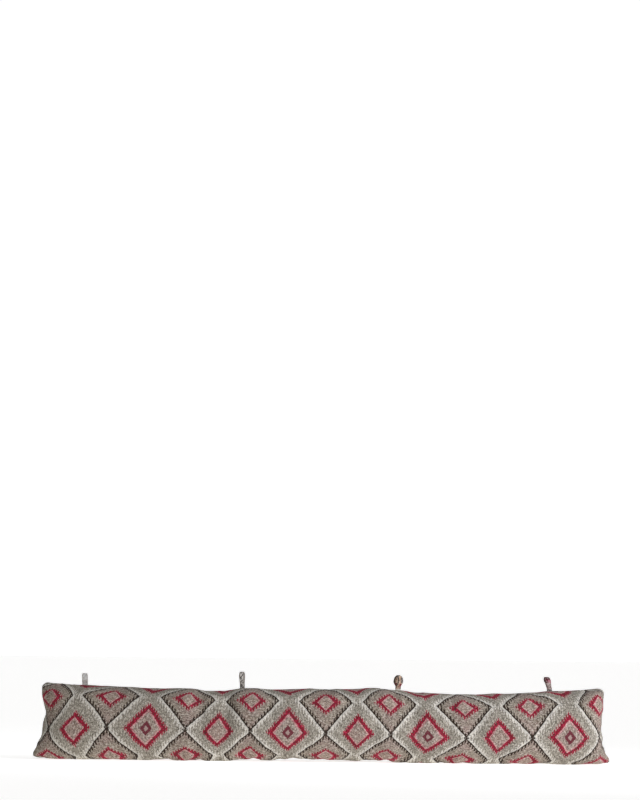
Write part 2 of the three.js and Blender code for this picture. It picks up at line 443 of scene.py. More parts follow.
# Where the cloth's own grid lies: along runs from -1 to 1 and drop from the top seam down.
def layPanel(along, drop):
    points = np.empty((len(along), 3))
    for level in np.unique(drop):
        for side in (-1, 1):
            row = rowPoints(side, level)
            arc = arcLengths(row)
            mine = (drop == level) & ((along < 0) if side < 0 else (along >= 0))
            place = np.abs(along[mine]) * arc[-1]
            for axis in range(3):
                points[mine, axis] = np.interp(place, arc, row[:, axis])
    return points


# How the filling pulls the woven pattern about: the tables go by place along the cloth.
weave = {
    # drop from the top seam to the row of crossings, and from there to the corners below it
    "rows": [
        (-0.466, 0.0915, 0.051), (-0.427, 0.0907, 0.051), (-0.334, 0.0852, 0.049),
        (-0.253, 0.0862, 0.0454), (-0.213, 0.0868, 0.042), (-0.16, 0.0888, 0.0405),
        (-0.11, 0.091, 0.04), (-0.053, 0.0925, 0.04), (0.006, 0.0936, 0.0385),
        (0.05, 0.0936, 0.037), (0.15, 0.0937, 0.0368), (0.26, 0.0935, 0.0395),
        (0.36, 0.0938, 0.0445), (0.391, 0.0943, 0.0487), (0.466, 0.095, 0.051),
    ],
    # how far the pattern is ahead of the cloth's even spacing: at that row, low down, high up
    "ahead": [
        (-0.466, -0.012, -0.012, 0.0005), (-0.427, -0.0091, -0.011, 0.0005),
        (-0.385, 0.0008, -0.01, 0.0078), (-0.334, 0.0009, -0.0075, 0.004),
        (-0.253, -0.0012, -0.0051, 0.0008), (-0.213, -0.0021, -0.005, -0.001),
        (-0.16, -0.002, -0.004, -0.001), (-0.11, -0.0018, -0.0015, -0.001),
        (-0.053, -0.0008, 0.0, -0.0008), (0.006, 0.0, 0.0, 0.0),
        (0.05, 0.001, 0.006, 0.001), (0.107, 0.002, 0.009, 0.002),
        (0.173, 0.0032, 0.0105, 0.003), (0.2235, 0.0036, 0.0112, 0.002),
        (0.325, 0.0044, 0.0124, 0.0012), (0.391, 0.006, 0.0135, -0.001),
        (0.4336, 0.013, 0.015, 0.008), (0.466, 0.017, 0.017, 0.012),
    ],
    "highShare": 0.6,        # where "high up" is reached, from that row to the top seam
    # further ahead near the crest: crestFade is the drop where that ends, and the cloth over
    # which it comes in
    "crestAhead": [
        (-0.44, 0.0), (-0.366, -0.012), (-0.31, 0.0), (0.34, 0.0), (0.378, 0.004), (0.43, 0.0),
    ],
    "crestFade": (0.036, 0.026),
    "rise": 0.972,           # pattern for each length of cloth above that row
    # more of it for each length of cloth nearer the top seam than crestReach
    "crest": [
        (-0.45, 0.5), (-0.366, 0.8), (-0.29, 0.5), (-0.2, 0.5), (-0.155, 0.12), (-0.11, 0.5),
        (0.2, 0.5), (0.26, 0.4), (0.32, 0.5),
    ],
    "crestReach": 0.027,
    "half": 0.0515,          # pattern from the row of crossings to the corners
    "under": 0.4,            # pattern for each length that turns under, below those corners
}


# The woven pattern's own coordinates at places on the cloth: along, and up from the crossings.
def patternPlace(along, drop):
    at = along * cushion["clothHalf"]
    row, below = readTable(weave["rows"], at)
    up = np.where(drop < row, (row - drop) * weave["rise"], (row - drop) * weave["half"] / below)
    up += np.maximum(0.0, weave["crestReach"] - drop) * readTable(weave["crest"], at)
    under = np.maximum(0.0, -weave["half"] - up)
    up = np.maximum(up, -weave["half"]) - under * weave["under"]
    low = np.clip((drop - row) / below, 0.0, 1.0)
    high = np.clip((row - drop) / (weave["highShare"] * row), 0.0, 1.0)
    ahead, lowAhead, highAhead = readTable(weave["ahead"], at)
    ahead = ahead * (1.0 - low - high) + lowAhead * low + highAhead * high
    fadeFrom, fadeOver = weave["crestFade"]
    ahead += readTable(weave["crestAhead"], at) * smooth((fadeFrom - drop) / fadeOver)
    return at + ahead, up


def addPanel(name, front):
    panel = addGrid(name, cushion["across"], cushion["down"])
    mesh = panel.data
    flat = getPoints(mesh)
    along = np.round(flat[:, 0] * 2.0, 6)
    drop = np.round((0.5 - flat[:, 1]) * panelDrop, 7)
    points = layPanel(along, drop)
    if not front:
        points[:, 1] *= -1.0
    setPoints(mesh, points)

    # the cloth's own place: along it, and down from the top seam
    isFront = np.full(len(drop), float(front))
    cloth = np.stack([along * cushion["clothHalf"], drop, isFront], axis=1)
    place = mesh.attributes.new("cloth", "FLOAT_VECTOR", "POINT")
    place.data.foreach_set("vector", cloth.ravel())

    # its map: the front fills the lower half and the back the upper half
    corner = np.empty(len(mesh.loops), dtype=int)
    mesh.loops.foreach_get("vertex_index", corner)
    x, up = patternPlace(along, drop)
    u = 0.5 + x * (1.0 if front else -1.0)
    v = 0.25 + up + (0.0 if front else 0.5)
    mesh.uv_layers[0].name = "cloth map"
    mesh.uv_layers[0].data.foreach_set("uv", np.stack([u[corner], v[corner]], axis=1).ravel())
    return panel


def sewPanels(front, back):
    activate(front)
    back.select_set(True)
    bpy.ops.object.join()
    weld(front)
    return front


# Each vertex's place on the cloth: along it, down from the top seam, and 1 on the front.
def clothPlaces(mesh):
    values = np.empty(len(mesh.vertices) * 3)
    mesh.attributes["cloth"].data.foreach_get("vector", values)
    return values.reshape(-1, 3)


# Averages a value per vertex with its neighbours, again and again.
def spread(mesh, values, rounds):
    edges = np.empty(len(mesh.edges) * 2, dtype=int)
    mesh.edges.foreach_get("vertices", edges)
    a, b = edges.reshape(-1, 2).T
    count = np.bincount(np.concatenate([a, b]), minlength=len(values))[:, None]
    for _ in range(rounds):
        total = np.zeros_like(values)
        np.add.at(total, a, values[b])
        np.add.at(total, b, values[a])
        values = 0.5 * values + 0.5 * total / count
    return values


stuffing = {
    "cloth": {
        "use_pressure": True, "uniform_pressure_force": 4.0, "quality": 6, "mass": 0.3,
        "tension_stiffness": 18, "compression_stiffness": 18, "shear_stiffness": 6,
        "bending_stiffness": 0.12,
        "shrink_min": -0.012,    # cloth to spare in the panels
        "shrink_max": 0.03,      # how much the seams draw it in
    },
    "steps": 20,
    "gatherWidth": 0.014,    # how far in from a seam it is drawn in
    "broadRounds": 60,       # rounds of averaging that tell the broad swelling from the folds
    "keepBroad": 0.08,       # share of the broad swelling that is kept
    "keepFine": 0.55,        # share of the folds that is kept
    "keepSlide": 0.25,       # share of any sliding along the surface that is kept
    "cap": 0.0035,           # the furthest that a point may move
    "endHold": 0.09,         # the ends and the top seam are held near their own lines
    "topHold": 0.04,
    "topKeep": 0.35,         # share of the move that is kept at the top seam itself
}


# Blows the cushion up a little in the cloth simulator, and keeps the folds that come of it.
def stuff(piece):
    mesh = piece.data
    start = getPoints(mesh)
    cloth = clothPlaces(mesh)
    fromEnd = cushion["clothHalf"] - np.abs(cloth[:, 0])
    fromSeam = np.minimum(np.minimum(cloth[:, 1], panelDrop - cloth[:, 1]), fromEnd)
    group = piece.vertex_groups.new(name="gather")
    for index, distance in enumerate(fromSeam):
        group.add([index], max(0.0, 1.0 - distance / stuffing["gatherWidth"]), "REPLACE")
    modifier = piece.modifiers.new("stuffing", "CLOTH")
    for setting, value in stuffing["cloth"].items():
        setattr(modifier.settings, setting, value)
    modifier.settings.vertex_group_shrink = "gather"
    modifier.settings.effector_weights.gravity = 0.0
    modifier.collision_settings.use_collision = False
    scene = bpy.context.scene
    scene.frame_start, scene.frame_end = 1, stuffing["steps"]
    modifier.point_cache.frame_start, modifier.point_cache.frame_end = 1, stuffing["steps"]
    for step in range(1, stuffing["steps"] + 1):
        scene.frame_set(step)
    shown = piece.evaluated_get(bpy.context.evaluated_depsgraph_get())
    moved = getPoints(shown.data) - start
    scene.frame_set(1)
    piece.modifiers.remove(modifier)
    piece.vertex_groups.remove(group)
    broad = spread(mesh, moved, stuffing["broadRounds"])
    move = stuffing["keepBroad"] * broad + stuffing["keepFine"] * (moved - broad)
    normals = vertexNormals(mesh)
    outward = normals * np.sum(move * normals, axis=1, keepdims=True)
    move = outward + stuffing["keepSlide"] * (move - outward)
    size = np.linalg.norm(move, axis=1, keepdims=True)
    move *= np.minimum(1.0, stuffing["cap"] / np.maximum(size, 1e-9))
    move[:, 0] *= smooth(fromEnd / stuffing["endHold"])
    fromTop = smooth(cloth[:, 1] / stuffing["topHold"])[:, None]
    move *= stuffing["topKeep"] + (1.0 - stuffing["topKeep"]) * fromTop
    print("stuffing moved the cloth by", round(float(size.max()) * 1000, 1), "mm at most")
    setPoints(mesh, start + move)


creases = {
    "lump": 0.0016,          # height of the filling's lumps
    "lumpSize": 0.075,
    "smallLump": 0.4,        # share of that height for the smaller lumps between them
    "smallLumpFiner": 2.7,
    # gathers along the long seams and the end seams: height, how far they reach from the seam,
    # their pitch along it, how fast they change away from it, and how soon they rise
    "longSeam": {"height": 0.00112, "reach": 0.016, "pitch": 0.017, "run": 0.05, "rise": 0.004},
    "endSeam": {"height": 0.00352, "reach": 0.034, "pitch": 0.02, "run": 0.07, "rise": 0.006},
    "faint": 0.02,           # gathers weaker than this share are left out
    "corner": 0.002,         # height of the creases that fan out of a corner
    "cornerReach": 0.075,
    "cornerPeak": 0.42,      # share of that reach where they are highest
    "cornerWide": 0.3,
    "cornerRise": 0.006,
    "cornerFan": 5.2,        # how closely they follow each other
    "cornerShift": (2.0, 1.3, 0.9),   # turns them at the right, on the front and at the foot
    "furrow": 0.0012,        # depth of the groove at an end seam
    "furrowWide": 0.0024,
    "bank": 0.0006,          # height of the swelling beside it
    "bankPlace": 0.009,
    "bankWide": 0.005,
}


# How far the gathers along a seam stand out, at one point of the cloth.
def gatherAt(seam, fromSeam, alongSeam, layer):
    near = math.exp(-fromSeam / seam["reach"])
    if near <= creases["faint"]:
        return 0.0
    away = 1.0 - math.exp(-fromSeam / seam["rise"])
    return seam["height"] * near * away * noise.noise(
        Vector((alongSeam / seam["pitch"], fromSeam / seam["run"], layer)))


# How far the creases out of a corner stand out there.
def cornerAt(fromTop, fromEnd, isRight, isFront, isLow):
    corner = math.hypot(fromEnd, fromTop)
    if corner >= creases["cornerReach"]:
        return 0.0
    share = corner / creases["cornerReach"]
    fade = math.exp(-((share - creases["cornerPeak"]) / creases["cornerWide"]) ** 2)
    fade *= 1.0 - math.exp(-min(fromTop, fromEnd) / creases["cornerRise"])
    right, front, low = creases["cornerShift"]
    angle = creases["cornerFan"] * math.atan2(fromTop, fromEnd + 1e-6)
    angle += right * isRight + front * isFront + low * isLow
    return creases["corner"] * fade * math.sin(angle)


# Lumps of the filling, small gathers along the seams, and creases that run out of the corners.
def creaseCloth(piece):
    mesh = piece.data
    points = getPoints(mesh)
    normals = vertexNormals(mesh)
    along, drop, front = clothPlaces(mesh).T
    fromEnd = cushion["clothHalf"] - np.abs(along)
    fromTop = np.minimum(drop, panelDrop - drop)
    isRight = along > 0
    isLow = drop > panelDrop / 2
    rise = np.zeros(len(points))
    for i, point in enumerate(points):
        lumpAt = Vector(point) / creases["lumpSize"]
        smallAt = lumpAt * creases["smallLumpFiner"] + Vector((7.0, 0.0, 3.0))
        rise[i] = creases["lump"] * (noise.noise(lumpAt)
                                     + creases["smallLump"] * noise.noise(smallAt))
        # each seam reads the noise in a layer of its own
        rise[i] += gatherAt(creases["longSeam"], fromTop[i], along[i], 11.0 + 5.0 * front[i])
        rise[i] += gatherAt(creases["endSeam"], fromEnd[i], drop[i],
                            23.0 + 9.0 * front[i] + 4.0 * isRight[i])
        rise[i] += cornerAt(fromTop[i], fromEnd[i], isRight[i], front[i], isLow[i])
    rise -= creases["furrow"] * np.exp(-(fromEnd / creases["furrowWide"]) ** 2)
    fromBank = (fromEnd - creases["bankPlace"]) / creases["bankWide"]
    rise += creases["bank"] * np.exp(-fromBank ** 2)
    points += normals * rise[:, None]
    points[:, 2] = np.maximum(points[:, 2], 0.0)
    setPoints(mesh, points)


# Splits the faces at the corners about their middles, so that front and back share no diagonal.
def splitCorners(piece):
    cloth = clothPlaces(piece.data)
    near = 0.0001
    corner = ((np.abs(cloth[:, 0]) > cushion["clothHalf"] - near)
              & (np.abs(cloth[:, 1] - panelDrop / 2) > panelDrop / 2 - near))
    activate(piece)
    bpy.ops.object.mode_set(mode="EDIT")
    bpy.ops.mesh.select_mode(type="FACE")
    bpy.ops.mesh.select_all(action="DESELECT")
    bpy.ops.object.mode_set(mode="OBJECT")
    for face in piece.data.polygons:
        face.select = any(corner[vertex] for vertex in face.vertices)
    bpy.ops.object.mode_set(mode="EDIT")
    bpy.ops.mesh.poke()
    bpy.ops.object.mode_set(mode="OBJECT")


def addCushion():
    piece = sewPanels(addPanel("cushionCloth", True), addPanel("backCloth", False))
    stuff(piece)
    applyModifier(piece, "finer", "SUBSURF", levels=1, render_levels=1)
    creaseCloth(piece)
    splitCorners(piece)
    bpy.ops.object.shade_smooth()
    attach(piece, "root")
    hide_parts("cushion")
    print("cushion made:", len(piece.data.polygons), "faces")
    return piece


kilim = {
    # all lengths of the cloth's pattern are in millimetres
    "stitch": (1.05, 1.15),
    "period": 221.0,         # width of a plain cell and a double cell together
    "plain": 102.5,          # width of a plain cell
    "start": 5.9,            # where a plain cell starts
    "half": 51.5,            # from a row of crossings to the row of dark diamonds
    "darkWide": 43.5,
    "backShift": 63.0,       # how far the back's pattern is set off from the front's
    # the teeth: pitch, and the part of it that a tooth takes
    "toothPitch": 4.3,
    "darkToothPart": 0.52,
    "smallToothPart": 0.56,
    "finePitch": 3.3,
    "fineToothPart": 0.56,
    "darkEdge": 3.2,         # the dark line, and its teeth, which are shorter above a crossing
    "darkTooth": 5.8,
    "darkToothLess": 3.2,
    "darkToothLessFrom": (30.0, 6.0),
    "lightEdge": 3.4,        # the pale line, and its pointed teeth
    "lightTooth": 9.5,
    "lightToothSharp": 1.15,
    # diamonds, by half their width and height: the small red ones, the big red ones of a plain
    # cell, what a double cell adds to them, and the heart of a double cell
    "smallLower": 1.5,       # how far the small ones sit below the middle of the dark diamonds
    "small": (20.8, 17.6),
    "smallHole": (13.2, 14.4),
    "smallLine": 0.15,       # share of the hole that its pink line takes
    "smallTooth": 0.2,
    "big": (23.4, 32.6),
    "bigMore": (7.4, 4.8),
    "bigTooth": 0.13,
    "bigUpperLess": 3.4,     # a plain cell's upper half is lower by this
    "bigHole": 16.6,         # half width of the hole in it, and what a double cell adds
    "bigHoleMore": 6.8,
    "bigLine": 0.13,
    "bigBand": 7.4,          # how much lower the hole is than the red
    "nextBand": 4.0,         # and how much more in the row at the crest
    "drawnFrom": (320.0, 380.0),  # where along the cloth the ends draw the big ones in
    "drawnIn": 0.17,         # how much they do on the left
    "drawnLess": 0.09,       # and how much less on the right
    "heart": (9.4, 12.0),
    "heartHole": (3.6, 4.8),
    "knot": (4.5, 5.5),      # where the dark lines cross
    # yarn by yarn: sizes of the noises across and up, and what they do
    "blushPatch": (22.0, 12.0),
    "blushFrom": 8.0,        # how far from its own middle a dark diamond starts to blush
    "blushOver": 44.0,
    "blushUneven": 1.6,
    "fleck": (2.6, 4.0),
    "fleckInDark": (1.6, -1.8),  # added to that in the dark diamonds
    "fleckStart": 40.0,      # where in the noise the flecks are read
    "fleckSharp": (0.3, 0.7),
    "streak": (14.0, 1.6),
    "patch": (60.0, 60.0),
    "fuzz": (0.7, 0.7),
    # how much of the pale and the deep yarn shows by stitch, fleck, patch and streak
    "paleBy": {"stitch": 0.8, "fleck": 0.9},
    "deepBy": {"stitch": 1.0, "fleck": 0.7, "patch": 0.4, "streak": 0.5},
    "calmFigures": 0.92,     # how much less of it the figures have than the ground
    "weftRows": 0.66,        # pairs of rows above this random value show a weft line
    "weftGaps": 0.2,
    "weftShows": 0.3,
    # the reds: between which shades deep and pale red come in, and how far they get
    "deepFrom": (0.5, 0.72),
    "deepShows": 0.85,
    "paleFrom": (0.42, 0.2),
    "paleShows": 0.6,
    "halo": 0.42,            # how much pink shows around the red
    "bigHalo": (0.22, 5.0),  # and how far out it starts and how fast it grows
    "smallHalo": (0.42, 2.8),
    # shade beside a seam and right on it: how far from the seam, in metres, and how much
    "seamFade": (0.003, 0.35),
    "seamLine": (0.0007, 0.4),
    # how round a yarn is across its row and along it, where the gaps start, how much they shade
    "roundAcross": 0.8,
    "roundAlong": 0.45,
    "gapFrom": 0.55,
    "gapShows": 0.9,
    "reliefBy": {"fuzz": 0.5, "stitch": 0.35, "streak": 0.5},
    "relief": 0.0005,        # depth of the yarns, in metres
    "darkGround": linear(147, 133, 116),
    "blushGround": linear(154, 129, 119),
    "lightGround": linear(150, 142, 127),
    "plainGround": linear(155, 129, 116),
    "doubleGround": linear(162, 139, 127),
    "holeGround": linear(162, 137, 122),
    "heartGround": linear(168, 144, 136),
    "weft": linear(112, 84, 78),
    "red": linear(140, 4, 36),
    "deepRed": linear(66, 2, 20),
    "paleRed": linear(212, 66, 98),
    "mutedRed": linear(106, 42, 52),
    "pink": linear(208, 138, 140),
    "cream": linear(226, 220, 208),
    "dark": linear(43, 30, 21),
    "paleYarn": linear(226, 219, 206),
    "deepYarn": linear(58, 48, 42),
    "seamShade": linear(40, 33, 28),
    "gapShade": linear(46, 38, 33),
}


def diamond(x, y, wide, tall):  # 1 in the middle, 0 at the edge, less outside
    return 1.0 - x / wide - y / tall


# The stitches, in millimetres: fine place, place of the stitch, and its column and row.
def stitchPlaces(start):
    place = start.make("ShaderNodeUVMap", {"uv_map": "cloth map"})
    across, up = place.part(0), place.part(1)
    back = up > 0.5
    fineX = (across - 0.5) * 1000.0 + back * kilim["backShift"]
    fineY = (up - 0.25 - back * 0.5) * 1000.0
    wide, tall = kilim["stitch"]
    column = (fineX / wide).floor()
    row = (fineY / tall).floor()
    return fineX, fineY, (column + 0.5) * wide, (row + 0.5) * tall, column, row


def kilimMaterial():
    material, shader, start = newMaterial("kilim cloth")
    fineX, fineY, x, y, column, row = stitchPlaces(start)

    def cloud(name, detail):
        wide, tall = kilim[name]
        return start.cloud(fineX / wide, fineY / tall, detail)

    # where a stitch lies in its cell
    half = kilim["half"]
    cell = (x - kilim["start"]).wrap(kilim["period"])
    isDouble = cell > kilim["plain"]
    doubleWidth = kilim["period"] - kilim["plain"]
    cellWidth = kilim["plain"] + isDouble * (doubleWidth - kilim["plain"])
    inCell = cell - isDouble * kilim["plain"]
    fromCrossing = inCell.least(cellWidth - inCell)
    fromCentre = abs(inCell - cellWidth * 0.5)
    rowPlace = y.wrap(2.0 * half)
    above = rowPlace < half
    fromDarkRow = abs(rowPlace - half)
    fromLightRow = half - fromDarkRow

    # the dark diamonds, and the teeth along their edges
    tooth = x.ridges(kilim["toothPitch"])
    inside = diamond(fromCrossing, fromDarkRow, kilim["darkWide"], half) * half
    inDark = inside > 0.0
    shorter = kilim["darkToothLess"] * above * fromLightRow.ramp(*kilim["darkToothLessFrom"])
    darkTooth = (kilim["darkTooth"] - shorter) * (tooth < kilim["darkToothPart"])
    darkTeeth = (inside < kilim["darkEdge"] + darkTooth) * inDark
    point = (tooth * kilim["lightToothSharp"] + (1.0 - kilim["lightToothSharp"])).most(0.0)
    outside = 0.0 - inside
    lightTeeth = (outside < kilim["lightEdge"] + kilim["lightTooth"] * point) * (1.0 - inDark)

    # the red diamond in each dark one
    fromSmallRow = abs(rowPlace - (half - kilim["smallLower"]))
    smallRed = diamond(fromCrossing, fromSmallRow, *kilim["small"])
    smallTooth = kilim["smallTooth"] * (tooth < kilim["smallToothPart"])
    inSmall = (smallRed + smallTooth) > 0.0
    smallHole = diamond(fromCrossing, fromSmallRow, *kilim["smallHole"])
    inSmallHole = smallHole > 0.0
    smallLine = (smallHole < kilim["smallLine"]) * inSmallHole

    # the red diamond in each light cell, with the heart of a double one
    drawnIn = abs(x).ramp(*kilim["drawnFrom"]) * (kilim["drawnIn"]
                                                  - (x > 0.0) * kilim["drawnLess"])
    (bigWide, bigTall), (moreWide, moreTall) = kilim["big"], kilim["bigMore"]
    upperLess = above * (1.0 - isDouble) * kilim["bigUpperLess"]
    bigTall = (bigTall + isDouble * moreTall - upperLess) * (1.0 - drawnIn)
    bigRed = diamond(fromCentre, fromLightRow, bigWide + isDouble * moreWide, bigTall)
    fineTooth = x.ridges(kilim["finePitch"]) < kilim["fineToothPart"]
    inBig = (bigRed + kilim["bigTooth"] * fineTooth) > 0.0
    holeWide = kilim["bigHole"] + isDouble * kilim["bigHoleMore"]
    holeTall = bigTall - kilim["bigBand"] - (y > half) * kilim["nextBand"]
    bigHole = diamond(fromCentre, fromLightRow, holeWide, holeTall)
    inBigHole = bigHole > 0.0
    bigLine = (bigHole < kilim["bigLine"]) * inBigHole
    inHeart = (diamond(fromCentre, fromLightRow, *kilim["heart"]) > 0.0) * isDouble
    heartHole = (diamond(fromCentre, fromLightRow, *kilim["heartHole"]) > 0.0) * isDouble
    knot = diamond(fromCrossing, fromLightRow, *kilim["knot"]) > 0.0

    # grounds: the dark diamonds blush towards their tips, and weft lines show in the middles
    tip = (fromDarkRow - kilim["blushFrom"]) / kilim["blushOver"]
    uneven = (cloud("blushPatch", 2.0) - 0.5) * kilim["blushUneven"]
    blush = (tip + uneven).ramp(0.0, 1.0)
    darkGround = blush.mix(kilim["darkGround"], kilim["blushGround"])
    colour = inDark.mix(kilim["lightGround"], darkGround)
    random = start.chance(column, row)
    pairRandom = start.make("ShaderNodeTexWhiteNoise", {"noise_dimensions": "1D"},
                            {"W": (row * 0.5).floor()})
    weftLine = (pairRandom > kilim["weftRows"]) * (random > kilim["weftGaps"]) * inBigHole
    holeGround = isDouble.mix(kilim["plainGround"], kilim["doubleGround"])
    holeColour = (weftLine * kilim["weftShows"]).mix(holeGround, kilim["weft"])

    # the reds, which change from stitch to stitch
    (fleckWide, fleckTall), (moreWide, moreTall) = kilim["fleck"], kilim["fleckInDark"]
    fleck = start.cloud(fineX / (fleckWide + moreWide * inDark) + kilim["fleckStart"],
                        fineY / (fleckTall + moreTall * inDark), 1.5)
    fleck = fleck.ramp(*kilim["fleckSharp"])
    shade = random * 0.5 + fleck * 0.5
    deep = shade.ramp(*kilim["deepFrom"]) * kilim["deepShows"]
    pale = shade.ramp(*kilim["paleFrom"]) * kilim["paleShows"]
    red = pale.mix(deep.mix(kilim["red"], kilim["deepRed"]), kilim["paleRed"])
    (bigOut, bigGrow), (smallOut, smallGrow) = kilim["bigHalo"], kilim["smallHalo"]
    halo = ((bigRed + bigOut) * bigGrow).most((smallRed + smallOut) * smallGrow).ramp(0.0, 1.0)

    # each figure covers what is under it
    for figure, shown in (
            (halo * kilim["halo"], kilim["pink"]), (inBig, red), (inBigHole, holeColour),
            (bigLine, kilim["pink"]), (inHeart, kilim["mutedRed"]),
            (heartHole, kilim["heartGround"]), (inSmall, red),
            (inSmallHole, kilim["holeGround"]), (smallLine, kilim["pink"]),
            (lightTeeth, kilim["cream"]), (darkTeeth.most(knot), kilim["dark"])):
        colour = figure.mix(colour, shown)

    # heather: every stitch has its own shade, and long streaks run with the weft
    streak = cloud("streak", 3.0)
    patch = cloud("patch", 2.0)
    figures = inBig - inBigHole + inSmall - inSmallHole + inHeart + darkTeeth
    ground = 1.0 - figures.least(1.0) * kilim["calmFigures"]
    paleBy, deepBy = kilim["paleBy"], kilim["deepBy"]
    pale = (random - 0.5).most(0.0) * paleBy["stitch"] + (fleck - 0.55).most(0.0) * paleBy["fleck"]
    deep = ((0.5 - random).most(0.0) * deepBy["stitch"] + (0.5 - fleck).most(0.0) * deepBy["fleck"]
            + (0.5 - patch).most(0.0) * deepBy["patch"]
            + (0.5 - streak).most(0.0) * deepBy["streak"])
    colour = (pale * ground).mix(colour, kilim["paleYarn"])
    colour = (deep * ground).mix(colour, kilim["deepYarn"])

    # shade where the panels turn under at their seams
    cloth = start.make("ShaderNodeAttribute", {"attribute_name": "cloth"}, None, 1)
    drop = cloth.part(1)
    fromEnd = cushion["clothHalf"] - abs(cloth.part(0))
    fromSeam = fromEnd.least(drop).least(panelDrop - drop)
    (fade, fadeShows), (line, lineShows) = kilim["seamFade"], kilim["seamLine"]
    seam = fromSeam.ramp(fade, 0.0) * fadeShows + (fromSeam < line) * lineShows
    colour = seam.mix(colour, kilim["seamShade"])

    # the rib and the over-and-under of the yarns
    wide, tall = kilim["stitch"]
    acrossRow = fineY.ridges(tall)
    alongRow = (fineX / (wide * 2.0) + row.wrap(2.0) * 0.5).ridges(1.0)
    roundness = yarnHeight(acrossRow, alongRow, kilim)
    gap = (kilim["gapFrom"] - roundness).most(0.0) * kilim["gapShows"]
    colour = gap.mix(colour, kilim["gapShade"])
    fuzz = cloud("fuzz", 2.0)
    reliefBy = kilim["reliefBy"]
    height = (roundness + fuzz * reliefBy["fuzz"] + random * reliefBy["stitch"]
              + streak * reliefBy["streak"])
    setShader(shader, {"Specular IOR Level": 0.1, "Sheen Weight": 0.03, "Sheen Roughness": 0.6})
    plug(0.84 + fuzz * 0.14, shader, "Roughness")
    plugCloth(shader, colour, height, kilim)
    return material


cushionPiece = addCushion()
cushionPiece.data.materials.append(kilimMaterial())
print("kilim cloth made")


loops = {
    "root": 0.008,           # how deep both ends go into the seam
    "neck": 0.0025,          # how far above the seam the ends part
    "along": 72,             # quads along a strap
    "across": 8,
    "middle": 0.6,           # share of the height where a loop is widest
    "swell": (0.3, 0.32),    # shares of it that shape the sides below that
    "turned": 0.4,           # share of it over which the twist comes in
    "narrower": 0.0006,      # a strap's flat sheet is narrower and thinner than its cloth
    "thinner": 0.0004,
    "softEdge": 0.0009,
    "sharpEdge": 50,         # degrees: edges sharper than this are rounded
    "cloth": (62.0, 9.0),    # millimetres of cloth along and across a strap
    "stitch": 1.1,
    "markPatch": (0.42, 0.5),    # size of the marks: patches for each stitch along and across
    "edgeBand": 0.2,         # share of the width that an edge's colour takes
    "edgeShows": 0.85,
    "paleFrom": 0.7,         # stitches above this random value show some pale yarn
    "paleShows": 0.22,
    "roundAcross": 0.7,
    "roundAlong": 0.5,
    "seamStitch": 2.6,       # pitch of the stitches along both edges
    "seamPart": 0.68,        # part of that pitch that the thread shows
    "seamPlace": (0.13, 0.19),   # how far in from an edge it lies, as shares of the width
    "threadShows": 0.4,
    "threadRelief": 0.8,
    "relief": 0.0004,
    "paleYarn": linear(232, 226, 216),
    "gapShade": linear(40, 34, 30),
    "thread": linear(176, 166, 152),
    # for each loop: place along the seam and height of the seam there, the loop's height, the
    # strap's thickness, how far its sides spread, twist and lean in degrees, its width at shares
    # of its height, its ground, its marks and their share, the colour of its edges, and its
    # bands of woven colour or painted shade: from and to along the strap, on which side, and
    # colour
    "each": {
        "loop_1": {
            "place": -0.37, "seat": 0.1156, "height": 0.018, "thick": 0.0025,
            "spread": 0.0135, "twist": 4, "lean": -3,
            "widths": [(0.0, 0.0092), (0.5, 0.0098), (0.8, 0.01), (0.93, 0.0086), (1.0, 0.006)],
            "ground": linear(202, 200, 197), "marks": linear(176, 173, 168), "share": 0.4,
            "edge": linear(192, 189, 184),
            "bands": [],
        },
        "loop_2": {
            "place": -0.1247, "seat": 0.1127, "height": 0.026, "thick": 0.0026,
            "spread": 0.014, "twist": -5, "lean": -2,
            "widths": [(0.0, 0.0082), (0.5, 0.008), (0.75, 0.0092), (0.9, 0.0084), (1.0, 0.0052)],
            "ground": linear(200, 194, 186), "marks": linear(42, 37, 33), "share": 0.46,
            "edge": linear(126, 119, 111),
            "bands": [(0.78, 0.96, "low", linear(34, 28, 25)),
                      (0.04, 0.22, "low", linear(34, 28, 25))],
        },
        "loop_3": {
            "place": 0.1182, "seat": 0.1128, "height": 0.023, "thick": 0.0026,
            "spread": 0.016, "twist": 28, "lean": 2,
            "widths": [(0.0, 0.0092), (0.25, 0.0086), (0.55, 0.0098), (0.8, 0.0084),
                       (1.0, 0.0044)],
            "ground": linear(190, 160, 134), "marks": linear(140, 112, 90), "share": 0.35,
            "edge": linear(52, 40, 34),
            "bands": [(0.46, 0.54, "all", linear(64, 46, 42)),
                      (0.72, 0.84, "high", linear(128, 16, 38)),
                      (0.6, 0.7, "high", linear(40, 30, 34)),
                      (0.16, 0.28, "low", linear(128, 16, 38)),
                      (0.87, 1.0, "all", linear(196, 190, 178)),
                      (0.0, 0.13, "all", linear(196, 190, 178))],
        },
        "loop_4": {
            "place": 0.3545, "seat": 0.1133, "height": 0.022, "thick": 0.0026,
            "spread": 0.014, "twist": 6, "lean": -14,
            "widths": [(0.0, 0.0084), (0.5, 0.008), (0.75, 0.0102), (0.9, 0.0092), (1.0, 0.0058)],
            "ground": linear(178, 160, 154), "marks": linear(112, 92, 88), "share": 0.42,
            "edge": linear(128, 104, 100),
            "bands": [(0.33, 0.67, "all", linear(78, 4, 26)),
                      (0.6, 0.67, "high", linear(160, 90, 104)),
                      # these two thin dark bands are painted shade, where the strap goes into the
                      # seam
                      (0.84, 0.875, "all", linear(40, 20, 24)),
                      (0.125, 0.16, "all", linear(40, 20, 24))],
        },
    },
}


def bezier(a, b, c, d, count):
    t = np.linspace(0.0, 1.0, count)[:, None]
    a, b, c, d = (np.array(p) for p in (a, b, c, d))
    return (1 - t) ** 3 * a + 3 * (1 - t) ** 2 * t * b + 3 * (1 - t) * t * t * c + t ** 3 * d


